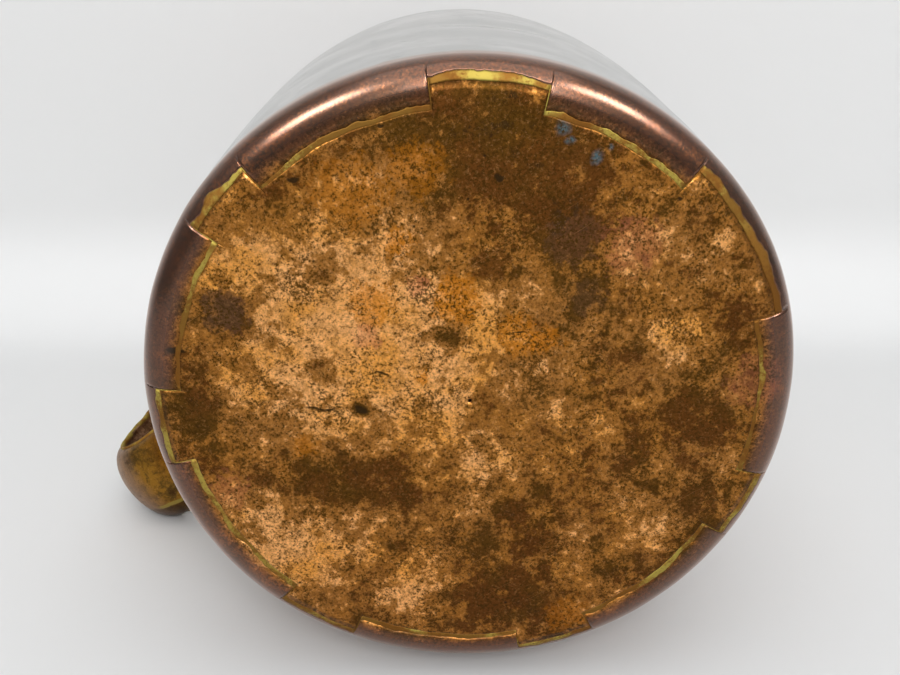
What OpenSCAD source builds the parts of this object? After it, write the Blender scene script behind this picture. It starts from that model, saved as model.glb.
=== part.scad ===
// Hand-made copper water jug, brazed up from sheet with castellated brass seams.
// The jug stands on its base with +Z up. The origin is the centre of the base's outer face.
// The handle is on the -X side and the pouring lip on the +X side.

/* [Body] */
// Outer radius of the body just above the rounded base corner
base_r = 90; // [75:1:108]
// Outer radius of the belly at its widest
belly_r = 97; // [80:1:117]
// Height of the belly's widest level above the base
belly_z = 145; // [120:1:174]
// Outer radius of the rounded corner between base and side
corner_r = 7.5; // [6.2:0.1:9]
// Thickness of the copper sheet of the body
sheet_t = 1.2; // [1:0.05:1.5]
// Radius of the outward-curving part of the shoulder
shoulder_r = 55; // [45:1:66]
// Radius of the hollow curve from shoulder to neck
throat_r = 25; // [20:1:30]

/* [Neck and mouth] */
// Outer radius of the straight part of the neck
neck_r = 52; // [43:1:60]
// Length of the straight part of the neck
neck_h = 40; // [33:1:48]
// Height of the flare above the straight neck
flare_h = 40; // [33:1:48]
// How far the flare widens the neck at the mouth
flare_out = 10; // [8:0.5:12]
// Radius of the iron wire inside the rolled rim
wire_r = 2; // [1.6:0.1:2.4]
// Thickness of the sheet rolled round the rim wire
roll_t = 0.8; // [0.6:0.05:1]
// Radius of the pouring lip at the height of the mouth
lip_r = 27; // [22.5:0.5:32]
// Depth of the pouring lip below the mouth
lip_depth = 46; // [38:1:55]
// How far the sheet edge of the lip stops below the mouth's edge
lip_drop = 0.3; // [0.25:0.05:0.4]

/* [Brass seams] */
// Number of tabs in the castellated base seam
tab_count = 7; // [5:1:9]
// Distance of the base seam in from the body's side, between the tabs
seam_inset = 11; // [9:0.1:13]
// Radial length of each tab of the base disc
tab_depth = 5.7; // [4.7:0.1:6.8]
// Width of each tab of the base disc
tab_w = 24; // [20:0.5:29]
// How far each tab strays from even spacing, in degrees
tab_stray = [0.5, 4, 2, 0, 2, -3, -3, 1, -1];
// Width of the brass line of the base seam
seam_w = 1.8; // [1.5:0.1:2.2]
// Height of the waist seam above the belly's widest level
waist_up = 20; // [16:0.5:24]
// Number of tabs in the waist seam
waist_tabs = 14; // [11:1:16]
// Height of each tab of the waist seam
waist_tab_h = 5; // [4:0.1:6]
// Width of each tab of the waist seam
waist_tab_w = 20; // [16:0.5:24]
// Width of the brass line of the waist, belly and neck seams
line_w = 1.4; // [1.1:0.05:1.7]
// How far the upright seams step to each side
step_y = 3.5; // [2.9:0.1:4.2]
// Height of one step of the upright seams
step_h = 14; // [11.5:0.5:17]
// Height of the upright seam's lower end above the base corner
seam_start = 3; // [2.5:0.1:3.6]
// Radius of the half-round band over the joint of shoulder and neck
band_r = 2.5; // [2:0.1:3]
// How far the brass fillet spreads along the neck and up the pouring lip
fillet_w = 1.2; // [1:0.05:1.5]
// Radius of the centre-punch mark in the base
punch_r = 1.4; // [1.1:0.1:1.7]
// Distance of the punch mark from the true centre of the base
punch_off = 3.5; // [2.9:0.1:4.2]

/* [Handle] */
// Height of the handle's lower arm above the base
arm_z = 92; // [77:1:110]
// Height of the handle's upper arm above the foot of the neck
top_up = 19; // [16:0.5:20]
// Clear space between the belly and the inside of the grip
grip_gap = 57; // [47:1:68]
// Radius of the bend between lower arm and grip
bend_r = 14; // [11.5:0.5:17]
// Width of the handle along the grip
grip_w = 35; // [29:0.5:42]
// Width of the handle where it meets the belly
foot_w = 42; // [35:0.5:44]
// How far the arched back stands out from the handle's edges
back_d = 9; // [7.5:0.1:10.8]
// How far the inner face bulges towards the fingers
liner_d = 3; // [2.5:0.1:3.6]
// Thickness of the handle's sheet
handle_t = 1; // [0.8:0.05:1.2]
// Half the thickness of the brass bead between the handle's two sheets
bead_h = 0.6; // [0.5:0.05:0.75]
// How far the brass bead stands out from the handle's edge
bead_out = 0.7; // [0.5:0.05:0.9]

/* [Plates and rivets] */
// Thickness of the plates that the handle is brazed to
plate_t = 1.4; // [1.1:0.05:1.7]
// Height of the lower plate
low_plate_h = 46; // [40:1:55]
// Width of the lower plate
low_plate_w = 58; // [52:1:70]
// Height of the upper plate
top_plate_h = 31; // [28:0.5:32]
// Width of the upper plate
top_plate_w = 44; // [38:1:52]
// Corner radius of both plates
plate_corner = 7; // [6:0.5:8.5]
// Radius of a rivet's shank
rivet_r = 1.6; // [1.3:0.1:1.9]
// Radius of a rivet's head
rivet_head_r = 3; // [2.5:0.1:3.6]
// Height of a rivet's head
rivet_head_h = 1.8; // [1.5:0.1:2.2]
// Distance from a rivet's centre to the plate's edges
rivet_inset = 4.6; // [3.9:0.1:5.5]
// Clearance between a curved seat and the piece on it
seat_gap = 0.1; // [0.08:0.01:0.12]

/* [Hidden] */
$fn = 96;
copper = "#b0693f";
aged_copper = "#8a5530";
brass = "#a8923a";
iron = "#55504c";

// The shoulder turns in through this angle before the throat turns back to upright
shoulder_turn = acos(1 - (belly_r - neck_r) / (shoulder_r + throat_r));
waist_z = belly_z + waist_up;
neck_z = belly_z + (shoulder_r + throat_r) * sin(shoulder_turn);
flare_z = neck_z + neck_h;
mouth_z = flare_z + flare_h;
mouth_r = neck_r + flare_out;
flare_rad = (flare_out * flare_out + flare_h * flare_h) / (2 * flare_out);
flare_turn = asin(flare_h / flare_rad);
roll_r = wire_r + roll_t;
roll_z = mouth_z + roll_r / 2;
tab_inner_r = base_r - seam_inset;
// Where the lip's edge crosses the mouth's, and how far short of it the rolled edges stop
cross_x = (mouth_r * mouth_r + neck_r * neck_r - lip_r * lip_r) / (2 * neck_r);
cross_y = sqrt(mouth_r * mouth_r - cross_x * cross_x);
short = 0.75 * roll_r;
mouth_end = atan2(cross_y, cross_x) + short / mouth_r * 180 / PI;
lip_end = atan2(cross_y, cross_x - neck_r) - short / lip_r * 180 / PI;
grip_x = belly_r + grip_gap;
top_z = neck_z + top_up;
beyond = 400;
slack = 1;
curve_steps = 12;

// ---- Outline of the body, as [radius, height], drawn in from the outer face by inset

function belly_at(z) = base_r + (belly_r - base_r)
    * sin(90 * (z - corner_r) / (belly_z - corner_r));
// Angle by which the belly's side leans outwards at a height
function belly_lean(z) = atan((belly_r - base_r) / (belly_z - corner_r) * PI / 2
    * cos(90 * (z - corner_r) / (belly_z - corner_r)));
function corner_points(inset) = [for (i = [0 : curve_steps])
    let (a = 90 * i / curve_steps, r = corner_r - inset)
    [base_r - corner_r + r * sin(a), corner_r - r * cos(a)]];
function belly_points(inset) = [for (i = [1 : curve_steps])
    let (z = corner_r + (belly_z - corner_r) * i / curve_steps) [belly_at(z) - inset, z]];
function shoulder_points(inset) = [for (i = [1 : curve_steps])
    let (a = shoulder_turn * i / curve_steps, r = shoulder_r - inset)
    [belly_r - shoulder_r + r * cos(a), belly_z + r * sin(a)]];
function throat_points(inset) = [for (i = [1 : curve_steps])
    let (a = shoulder_turn * (1 - i / curve_steps), r = throat_r + inset)
    [neck_r + throat_r - r * cos(a), neck_z - r * sin(a)]];
function flare_points(inset) = [for (i = [0 : curve_steps])
    let (a = flare_turn * i / curve_steps, r = flare_rad + inset)
    [neck_r + flare_rad - r * cos(a), flare_z + r * sin(a)]];

module body_core(inset, top) {
    rotate_extrude() polygon(concat([[0, inset]], corner_points(inset), belly_points(inset),
        shoulder_points(inset), throat_points(inset), [[neck_r - inset, top], [0, top]]));
}

module neck_core(inset, low) {
    flare = flare_points(inset);
    rotate_extrude() polygon(concat([[0, low], [neck_r - inset, low]], flare,
        [[0, flare[curve_steps][1]]]));
}

module body_wall() {
    difference() {
        body_core(0, neck_z);
        body_core(sheet_t, neck_z + slack);
    }
}

module neck_wall() {
    difference() {
        neck_core(0, neck_z);
        neck_core(sheet_t, neck_z - slack);
        lip_cone(lip_r - sheet_t, slack);
        mouth_ring();
    }
}

// ---- Cutters that share the wall out between sheets and seams

// Everything over the base disc and its square tabs, grown outwards by grow
module tabbed_disc(grow) {
    translate([0, 0, -slack]) linear_extrude(corner_r) {
        circle(r = tab_inner_r + grow);
        for (i = [0 : tab_count - 1])
            rotate(360 * i / tab_count + tab_stray[i])
                intersection() {
                    circle(r = tab_inner_r + tab_depth + grow);
                    translate([0, -tab_w / 2 - grow]) square([beyond, tab_w + 2 * grow]);
                }
    }
}

// Everything below the waist seam and its tabs, grown upwards by grow
module below_waist(grow) {
    cylinder(r = beyond, h = waist_z + grow);
    for (i = [0 : waist_tabs - 1])
        rotate([0, 0, 360 * (i + 0.5) / waist_tabs])
            translate([0, -waist_tab_w / 2 - grow, 0])
                cube([beyond, waist_tab_w + 2 * grow, waist_z + waist_tab_h + grow]);
}

// Stepped line of an upright seam on the handle's side, from low to high
module stepped_line(low, high) {
    steps = ceil((high - low) / step_h);
    rotate([90, 0, -90]) linear_extrude(beyond)
        for (k = [0 : steps - 1]) {
            side = (k % 2 == 0) ? step_y : -step_y;
            height = min(step_h, high - low - k * step_h);
            translate([side - line_w / 2, low + k * step_h]) square([line_w, height]);
            if (k > 0)
                translate([-step_y - line_w / 2, low + k * step_h - line_w / 2])
                    square([2 * step_y + line_w, line_w]);
        }
}

// Upright cone of the pouring lip, with its point on the straight part of the neck
module lip_cone(top_r, over) {
    depth = lip_depth * top_r / lip_r;
    translate([neck_r, 0, mouth_z - depth])
        cylinder(r1 = 0, r2 = top_r + over * top_r / depth, h = depth + over);
}

// Rings that follow the mouth's edge and the pouring lip's, for cutting their seats
module mouth_ring() {
    rotate_extrude() translate([mouth_r, roll_z]) circle(r = roll_r);
}

module lip_ring() {
    translate([neck_r, 0, 0]) rotate_extrude() translate([lip_r, roll_z]) circle(r = roll_r);
}

// Turns a section at the mouth's edge and another at the lip's round their arcs, which
// stop short of each other where they meet
module rim_arcs() {
    rotate([0, 0, mouth_end]) rotate_extrude(angle = 360 - 2 * mouth_end)
        translate([mouth_r, roll_z]) children();
    translate([neck_r, 0, 0]) rotate([0, 0, -lip_end]) rotate_extrude(angle = 2 * lip_end)
        translate([lip_r, roll_z]) children();
}

// ---- Body pieces

module base_disc() {
    color(copper) difference() {
        intersection() {
            body_wall();
            tabbed_disc(0);
        }
        rotate([0, 0, -10]) translate([punch_off, 0, -punch_r / 2]) sphere(r = punch_r);
    }
}

module base_seam() {
    color(brass) intersection() {
        body_wall();
        difference() {
            tabbed_disc(seam_w);
            tabbed_disc(0);
        }
    }
}

module belly_shell() {
    color(copper) difference() {
        intersection() {
            body_wall();
            below_waist(0);
        }
        tabbed_disc(seam_w);
        belly_line();
        lower_rivets() rivet_shank();
    }
}

module belly_line() {
    stepped_line(corner_r + seam_start, waist_z + waist_tab_h + slack);
}

module belly_seam() {
    color(brass) intersection() {
        body_wall();
        below_waist(0);
        belly_line();
    }
}

module waist_seam() {
    color(brass) intersection() {
        body_wall();
        difference() {
            below_waist(line_w);
            below_waist(0);
        }
    }
}

module shoulder_shell() {
    color(copper) difference() {
        body_wall();
        below_waist(line_w);
    }
}

module neck_band() {
    color(brass) difference() {
        rotate_extrude() translate([neck_r, neck_z]) circle(r = band_r);
        body_core(0, neck_z + slack);
        cylinder(r = neck_r, h = mouth_z);
    }
}

module neck_line() {
    stepped_line(neck_z - slack, mouth_z + slack);
}

module neck_shell() {
    color(copper) difference() {
        neck_wall();
        neck_line();
        upper_rivets() rivet_shank();
    }
}

module neck_seam() {
    color(brass) intersection() {
        neck_wall();
        neck_line();
    }
}

module rim_roll() {
    color(copper) rim_arcs() difference() {
        circle(r = roll_r);
        circle(r = wire_r);
    }
}

module rim_wire() {
    color(iron) rim_arcs() circle(r = wire_r);
}

module pouring_lip() {
    color(copper) difference() {
        lip_cone(lip_r, -lip_drop);
        lip_cone(lip_r - sheet_t, slack);
        neck_core(0, neck_z);
        lip_ring();
    }
}

module lip_seam() {
    color(brass) difference() {
        intersection() {
            lip_cone(lip_r + fillet_w, -lip_drop);
            neck_core(-fillet_w, neck_z);
        }
        lip_cone(lip_r, slack);
        neck_core(0, neck_z - slack);
        mouth_ring();
        lip_ring();
    }
}

// ---- Plates and rivets

module plate_block(width, height, mid_z) {
    rotate([90, 0, -90]) linear_extrude(beyond)
        translate([0, mid_z]) {
            square([width - 2 * plate_corner, height], center = true);
            square([width, height - 2 * plate_corner], center = true);
            for (y = [-1, 1], z = [-1, 1])
                translate([y * (width / 2 - plate_corner), z * (height / 2 - plate_corner)])
                    circle(r = plate_corner);
        }
}

module lower_plate() {
    color(aged_copper) difference() {
        intersection() {
            body_core(-plate_t, neck_z);
            plate_block(low_plate_w, low_plate_h, arm_z);
        }
        body_core(0, neck_z + slack);
        lower_rivets() rivet_shank();
    }
}

module upper_plate() {
    color(aged_copper) difference() {
        intersection() {
            neck_core(-plate_t, neck_z);
            plate_block(top_plate_w, top_plate_h, top_z);
        }
        neck_core(0, neck_z - slack);
        upper_rivets() rivet_shank();
    }
}

// Sets its children at two corners of a plate, square to a surface of radius r that leans
// outwards by lean
module rivet_pair(width, r, z, lean) {
    for (side = [-1, 1])
        rotate([0, 0, 180 + side * asin((width / 2 - rivet_inset) / r)])
            translate([r, 0, z]) rotate([0, 90 + lean, 0]) children();
}

module lower_rivets() {
    for (up = [-1, 1]) {
        z = arm_z + up * (low_plate_h / 2 - rivet_inset);
        rivet_pair(low_plate_w, belly_at(z), z, belly_lean(z)) children();
    }
}

module upper_rivets() {
    for (up = [-1, 1])
        rivet_pair(top_plate_w, neck_r, top_z + up * (top_plate_h / 2 - rivet_inset), 0)
            children();
}

// A rivet along Z, with Z = 0 at the body's outer face
module rivet_shank() {
    translate([0, 0, -sheet_t - 2 * seat_gap]) cylinder(r = rivet_r, h = sheet_t + plate_t + 4 * seat_gap);
}

module rivet() {
    dome_r = (rivet_head_r * rivet_head_r + rivet_head_h * rivet_head_h) / (2 * rivet_head_h);
    rivet_shank();
    translate([0, 0, plate_t + 2 * seat_gap]) intersection() {
        translate([0, 0, rivet_head_h - dome_r]) sphere(r = dome_r);
        cylinder(r = rivet_head_r + slack, h = rivet_head_h + slack);
    }
    translate([0, 0, -sheet_t - 2 * seat_gap - rivet_r / 2])
        cylinder(r1 = rivet_r, r2 = rivet_head_r * 0.9, h = rivet_r / 2);
}

module handle_rivets() {
    color(aged_copper) {
        lower_rivets() rivet();
        upper_rivets() rivet();
    }
}

// ---- Handle, swept along a path in the X-Z plane

arm_steps = 5;
bend_steps = 6;
grip_steps = 16;
arc_steps = 12;
bead_steps = 2;
// Share of the grip's height that starts upright, and of its reach that ends level
upright_share = 0.3;
level_share = 0.45;

foot_x = belly_at(arm_z) + plate_t + seat_gap;
head_x = neck_r + plate_t + seat_gap;

function bezier(a, b, c, d, t) = pow(1 - t, 3) * a + 3 * pow(1 - t, 2) * t * b
    + 3 * (1 - t) * t * t * c + pow(t, 3) * d;
function bezier_slope(a, b, c, d, t) = pow(1 - t, 2) * (b - a) + 2 * (1 - t) * t * (c - b)
    + t * t * (d - c);

// Each station is [[distance from axis, height], heading, width]
arm_path = [for (i = [0 : arm_steps - 1]) let (t = i / arm_steps)
    [[foot_x + t * (grip_x - bend_r - foot_x), arm_z], [1, 0],
        foot_w + (grip_w - foot_w) * t]];
bend_path = [for (i = [0 : bend_steps - 1]) let (a = 90 * i / bend_steps)
    [[grip_x - bend_r + bend_r * sin(a), arm_z + bend_r - bend_r * cos(a)],
        [cos(a), sin(a)], grip_w]];
grip_low = [grip_x, arm_z + bend_r];
grip_high = [head_x, top_z];
grip_pull = [grip_x, grip_low[1] + upright_share * (top_z - grip_low[1])];
head_pull = [head_x + level_share * (grip_x - head_x), top_z];
grip_path = [for (i = [0 : grip_steps]) let (t = i / grip_steps,
    slope = bezier_slope(grip_low, grip_pull, head_pull, grip_high, t))
    [bezier(grip_low, grip_pull, head_pull, grip_high, t), slope / norm(slope), grip_w]];
handle_path = concat(arm_path, bend_path, grip_path);
last = len(handle_path) - 1;

// A point of the sweep: across the handle, and out from its edge line. Both ends are
// brought onto the plates' round faces.
function seated(i, across, out) = let (
    place = handle_path[i][0], heading = handle_path[i][1],
    z = place[1] - out * heading[0],
    seat = i == 0 ? belly_at(z) + plate_t + seat_gap : head_x,
    x = (i == 0 || i == last) ? sqrt(seat * seat - across * across)
        : place[0] + out * heading[1]) [-x, across, z];

// Sweeps the strip between two curves of the section. Each curve is a function of the
// width, giving the same number of [across, out] points.
module sweep(outer, inner, n) {
    stations = [for (i = [0 : last]) let (w = handle_path[i][2])
        concat([for (p = outer(w)) seated(i, p[0], p[1])],
            [for (p = inner(w)) seated(i, p[0], p[1])])];
    points = [for (s = stations) each s];
    per = 2 * (n + 1);
    loop = concat([for (k = [0 : n]) k], [for (k = [n : -1 : 0]) n + 1 + k]);
    sides = [for (i = [0 : last - 1], k = [0 : per - 1])
        let (a = i * per + loop[k], b = i * per + loop[(k + 1) % per])
        each [[a, b, b + per], [a, b + per, a + per]]];
    caps = [for (k = [0 : n - 1], end = [0, 1])
        let (o = end * last * per, q = [o + k, o + k + 1, o + n + 2 + k, o + n + 1 + k])
        each end == 0 ? [[q[0], q[3], q[2]], [q[0], q[2], q[1]]]
            : [[q[0], q[1], q[2]], [q[0], q[2], q[3]]]];
    polyhedron(points, concat(sides, caps));
}

// Arc of the arched back, inset from its outer face, above the brass bead
function back_arc(w, inset) = let (half = w / 2 - inset, rise = back_d - inset,
    start = asin(bead_h / rise))
    [for (k = [0 : arc_steps]) let (a = 180 - start - (180 - 2 * start) * k / arc_steps)
        [half * cos(a), rise * sin(a)]];

// Curve of the liner, drop below its top face
function liner_curve(w, drop) = [for (k = [0 : arc_steps])
    let (s = w * (k / arc_steps - 0.5), flat = w / 2 - 2 * handle_t)
    [s, -bead_h - drop - liner_d * max(0, 1 - pow(s / flat, 2))]];

// Half of the bead's section, on one side of the handle and above or below its middle
function bead_half(w, side, up) = [[side * (w / 2 - handle_t), up * bead_h],
    [side * (w / 2 + bead_out / 2), up * bead_h], [side * (w / 2 + bead_out), up * bead_h / 3]];

module handle_back() {
    color(aged_copper) sweep(function(w) back_arc(w, 0), function(w) back_arc(w, handle_t),
        arc_steps);
}

module handle_liner() {
    color(aged_copper) sweep(function(w) liner_curve(w, 0),
        function(w) liner_curve(w, handle_t), arc_steps);
}

module handle_seams() {
    color(brass) {
        sweep(function(w) bead_half(w, 1, 1), function(w) bead_half(w, 1, -1), bead_steps);
        sweep(function(w) bead_half(w, -1, -1), function(w) bead_half(w, -1, 1), bead_steps);
    }
}

base_disc();
base_seam();
belly_shell();
belly_seam();
waist_seam();
shoulder_shell();
neck_band();
neck_shell();
neck_seam();
rim_roll();
rim_wire();
pouring_lip();
lip_seam();
handle_back();
handle_liner();
handle_seams();
lower_plate();
upper_plate();
handle_rivets();
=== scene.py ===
"""Builds the looks of a hand-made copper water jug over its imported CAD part.

The jug stands on its base with +Z up, its handle on the -X side. The camera looks at it from
below the base, as if it lay on its side on a pale table.
"""

import math

import bmesh
import bpy
from mathutils import Matrix, Vector, noise


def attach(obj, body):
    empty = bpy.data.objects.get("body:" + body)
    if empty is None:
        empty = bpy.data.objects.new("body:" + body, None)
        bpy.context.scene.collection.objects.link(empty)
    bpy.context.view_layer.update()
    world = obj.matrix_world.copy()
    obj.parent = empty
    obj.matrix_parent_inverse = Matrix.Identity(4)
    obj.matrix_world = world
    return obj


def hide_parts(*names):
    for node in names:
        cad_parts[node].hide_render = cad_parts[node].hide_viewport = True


bl_info = {
    "name": "Copper water jug",
    "version": (1, 0, 0),
    "blender": (4, 5, 0),
    "location": "3D View > Sidebar > Jug",
    "description": "Builds the sheets, brass seams, handle and finishes of a copper water jug",
    "category": "Object",
}

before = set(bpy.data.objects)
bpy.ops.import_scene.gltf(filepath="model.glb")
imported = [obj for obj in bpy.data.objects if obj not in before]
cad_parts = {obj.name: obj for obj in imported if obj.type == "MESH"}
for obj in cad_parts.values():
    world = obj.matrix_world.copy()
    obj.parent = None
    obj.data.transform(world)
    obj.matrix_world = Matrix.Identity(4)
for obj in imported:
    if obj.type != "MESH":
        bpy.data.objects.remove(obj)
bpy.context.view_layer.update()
MM = 0.001
WAIST_TABS = 14
# Room left between the handle's ends and the plates under them
HANDLE_GAP = 0.0001

# Directions as the jug lies on its side: away from the table top, and to the right along it
UPWARD = Vector((0.5446, -0.8387, 0))
ALONG = Vector((0.8387, 0.5446, 0))


# ---- Sizes and colours ---------------------------------------------------------------------

def size(name, about, value, unit="LENGTH"):
    return bpy.props.FloatProperty(name=name, description=about, default=value, unit=unit,
                                   precision=5)


def colour(name, about, value):
    shade = tuple(part / 255 for part in value)
    return bpy.props.FloatVectorProperty(name=name, description=about, default=shade, size=3,
                                         min=0, max=1, subtype="COLOR_GAMMA")


class JugSizes(bpy.types.PropertyGroup):
    """Sizes of the jug's body and handle that the finer pieces are drawn to"""
    base_r: size("Base radius", "Radius just above the base's corner", 0.090)
    belly_r: size("Belly radius", "Radius at the belly's widest", 0.097)
    belly_z: size("Belly height", "Height of the belly's widest", 0.145)
    corner_r: size("Corner radius", "Rounding between base and side", 0.0075)
    shoulder_r: size("Shoulder radius", "Radius of the outward-curving shoulder", 0.055)
    sheet_t: size("Sheet thickness", "Thickness of the body's copper", 0.0012)
    waist_z: size("Waist height", "Height of the waist seam", 0.165)
    waist_tab_h: size("Waist tab height", "Height of the tabs in the waist seam", 0.005)
    waist_tab_w: size("Waist tab width", "Width of the tabs in the waist seam", 0.020)
    tab_inner_r: size("Seam radius", "Radius of the base seam between its tabs", 0.079)
    tab_depth: size("Tab length", "How far the base's tabs reach out", 0.0057)
    seam_w: size("Brass width", "Usual width of the brass in the base seam", 0.0013)
    leg_w: size("Leg width", "Width of the brass beside each tab", 0.0003)
    relief: size("Unevenness", "How far the hammered sheet strays from true", 0.00035)
    arm_z: size("Arm height", "Height of the handle's lower arm", 0.092)
    top_z: size("Top height", "Height of the handle's upper end", 0.23594)
    grip_x: size("Grip reach", "Distance of the grip's edge line from the axis", 0.154)
    neck_r: size("Neck radius", "Radius of the straight neck", 0.052)
    bend_r: size("Bend radius", "Radius between lower arm and grip", 0.014)
    grip_w: size("Grip width", "Width of the grip", 0.035)
    foot_w: size("Foot width", "Width of the handle at the belly", 0.042)
    back_d: size("Back depth", "How far the arched back stands out", 0.009)
    liner_d: size("Liner bulge", "How far the inner face bulges", 0.003)
    handle_t: size("Handle sheet", "Thickness of the handle's sheet", 0.001)
    bead_h: size("Bead height", "Half the thickness of the handle's brass bead", 0.0006)
    bead_out: size("Bead reach", "How far the bead stands out from the edge", 0.0007)
    plate_t: size("Plate thickness", "Thickness of the handle's plates", 0.0014)


class JugColours(bpy.types.PropertyGroup):
    """Colours of the jug's metals and of the stage"""
    bright: colour("Bright copper", "Bare orange copper of the base", (208, 143, 66))
    salmon: colour("Salmon copper", "Paler bare copper", (222, 162, 100))
    brown: colour("Brown film", "Thin brown film over the copper", (132, 86, 34))
    olive: colour("Olive patina", "Thick olive brown patina", (66, 44, 13))
    rust: colour("Red-brown patina", "Thick red-brown patina", (74, 42, 16))
    dark: colour("Black patina", "Darkest spots and pits", (46, 34, 18))
    purple: colour("Purple bloom", "Purple grey bloom", (84, 60, 44))
    pink: colour("Pink bloom", "Pinkish bloom", (186, 112, 82))
    gold: colour("Gold bloom", "Golden orange heat bloom", (186, 112, 24))
    verdigris: colour("Verdigris", "Blue-green corrosion", (66, 96, 104))
    sheen: colour("Sheen", "Pinkish sheen along the rounded corner", (255, 226, 208))
    edge: colour("Edge copper", "Pinkish brown of the rounded corner", (96, 64, 36))
    body: colour("Body copper", "Polished copper of the body", (190, 148, 120))
    # Painted reflection: grey laid into the polished copper's colour towards its silhouette, by
    # viewing angle
    painted_glance: colour("Glancing light", "Pale grey of copper at a glancing angle", (166, 172, 172))
    tin: colour("Tin lining", "Dull grey inside the body", (150, 146, 138))
    brass: colour("Brass", "Yellow green brass of the seams", (158, 140, 66))
    brass_brown: colour("Browned brass", "Orange brown brass of the seams", (132, 92, 38))
    handle: colour("Handle copper", "Ochre brown of the handle", (146, 104, 38))
    # Painted reflection: paler pinkish grey laid on the handle's outer bend
    handle_bend_reflection: colour("Handle warm", "Warm pinkish grey of the handle", (146, 114, 88))
    handle_olive: colour("Handle olive", "Olive brown film of the handle", (92, 68, 30))
    handle_amber: colour("Handle amber", "Orange brown of the handle's arm", (128, 76, 14))
    # Also painted shade: the same dark brown darkens the side of the handle that faces the table
    handle_stain_and_shade: colour("Handle stain and shade", "Dark brown of the handle", (66, 42, 18))
    iron: colour("Iron", "Rim wire", (86, 80, 76))
    table: colour("Table", "Pale table top", (215, 216, 216))
    backdrop: colour("Backdrop", "Pale wall", (227, 228, 228))


def sizes():
    return bpy.context.scene.jug_sizes


def colours():
    return bpy.context.scene.jug_colours


# ---- Small helpers for meshes --------------------------------------------------------------

def clamp(value):
    return max(0.0, min(1.0, value))


def linked(name, mesh):
    piece = bpy.data.objects.new(name, mesh)
    bpy.context.scene.collection.objects.link(piece)
    return piece


def grids_piece(name, grids):
    """Makes one mesh of several grids. Each grid is (rows, closed): a list of rows of points."""
    bm = bmesh.new()
    for rows, closed in grids:
        made = [[bm.verts.new(p) for p in row] for row in rows]
        pairs = list(zip(made, made[1:]))
        if closed:
            pairs.append((made[-1], made[0]))
        for row, following in pairs:
            for k in range(len(row) - 1):
                bm.faces.new((row[k], row[k + 1], following[k + 1], following[k]))
    bmesh.ops.remove_doubles(bm, verts=bm.verts, dist=1e-6)
    for face in bm.faces:
        face.smooth = True
    mesh = bpy.data.meshes.new(name)
    bm.to_mesh(mesh)
    bm.free()
    return linked(name, mesh)


def thicken(piece, depth, offset=-1.0):
    solid = piece.modifiers.new("Sheet thickness", "SOLIDIFY")
    solid.thickness = depth
    solid.offset = offset
    solid.use_even_offset = True
    return piece


def finished(piece, material, *nodes):
    """Puts a piece on the jug's body in place of CAD nodes, with its finish."""
    piece.data.materials.clear()
    piece.data.materials.append(material)
    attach(piece, "root")
    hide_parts(*nodes)
    return piece


# ---- Outline of the body -------------------------------------------------------------------

class Outline:
    """The body's outer profile by distance along it from the middle of the base."""

    def __init__(self):
        s = sizes()
        flat = s.base_r - s.corner_r
        points = [(flat * k / 40, 0.0, 0.0, -1.0) for k in range(41)]
        for k in range(1, 33):
            a = math.radians(90 * k / 32)
            points.append((flat + s.corner_r * math.sin(a), s.corner_r - s.corner_r * math.cos(a),
                           math.sin(a), -math.cos(a)))
        rise = s.belly_z - s.corner_r
        for k in range(1, 121):
            z = s.corner_r + rise * k / 120
            bulge = s.belly_r - s.base_r
            quarter = math.pi / 2 * (z - s.corner_r) / rise
            slope = bulge * math.cos(quarter) * math.pi / 2 / rise
            long = math.hypot(1, slope)
            points.append((s.base_r + bulge * math.sin(quarter), z, 1 / long, -slope / long))
        for k in range(1, 61):
            a = math.radians(40 * k / 60)
            points.append((s.belly_r - s.shoulder_r + s.shoulder_r * math.cos(a),
                           s.belly_z + s.shoulder_r * math.sin(a), math.cos(a), math.sin(a)))
        self.points = points
        self.along = [0.0]
        for a, b in zip(points, points[1:]):
            self.along.append(self.along[-1] + math.hypot(b[0] - a[0], b[1] - a[1]))

    def at(self, distance):
        """(radius, height, radial part of the outward normal, upright part) at a distance."""
        low, high = 0, len(self.along) - 1
        while high - low > 1:
            middle = (low + high) // 2
            if self.along[middle] <= distance:
                low = middle
            else:
                high = middle
        t = clamp((distance - self.along[low]) / (self.along[high] - self.along[low]))
        return [a + (b - a) * t for a, b in zip(self.points[low], self.points[high])]

    def distance_to(self, height):
        """Distance along the profile at which it reaches a height."""
        for k, point in enumerate(self.points):
            if point[1] >= height and k > 0:
                before = self.points[k - 1]
                t = (height - before[1]) / (point[1] - before[1])
                return self.along[k - 1] + t * (self.along[k] - self.along[k - 1])
        return self.along[-1]


# Shallow dents in the lower belly: direction in degrees, height, width round the body, height
# of the dent and depth, all in mm
DENTS = [(303, 40, 24, 12, 0.6), (316, 22, 14, 5, 0.3), (289, 27, 18, 4, 0.25),
         (284, 52, 16, 10, 0.45), (262, 30, 12, 10, 0.25), (331, 54, 18, 12, 0.45),
         (308, 72, 30, 9, 0.7), (35, 60, 18, 18, 0.5), (120, 80, 20, 20, 0.5)]


def hammered(point, outward):
    """Moves a point of the body in or out by the unevenness of hand-hammered sheet."""
    s = sizes()
    broad = noise.noise(point * 22) * 0.65 + noise.noise(point * 60 + Vector((3, 5, 7))) * 0.35
    fine = noise.noise(point * 170 + Vector((11, 2, 9))) * 0.12
    move = s.relief * (broad + fine) - 0.00015
    heading = math.atan2(point.y, point.x)
    for direction, height, wide, tall, depth in DENTS:
        turn = (heading - math.radians(direction) + math.pi) % (2 * math.pi) - math.pi
        round_by = turn * s.base_r / (wide * MM)
        up_by = (point.z - height * MM + round_by * 0.002) / (tall * MM)
        move -= depth * MM * math.exp(-round_by * round_by - up_by * up_by)
    return point + outward * move


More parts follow.
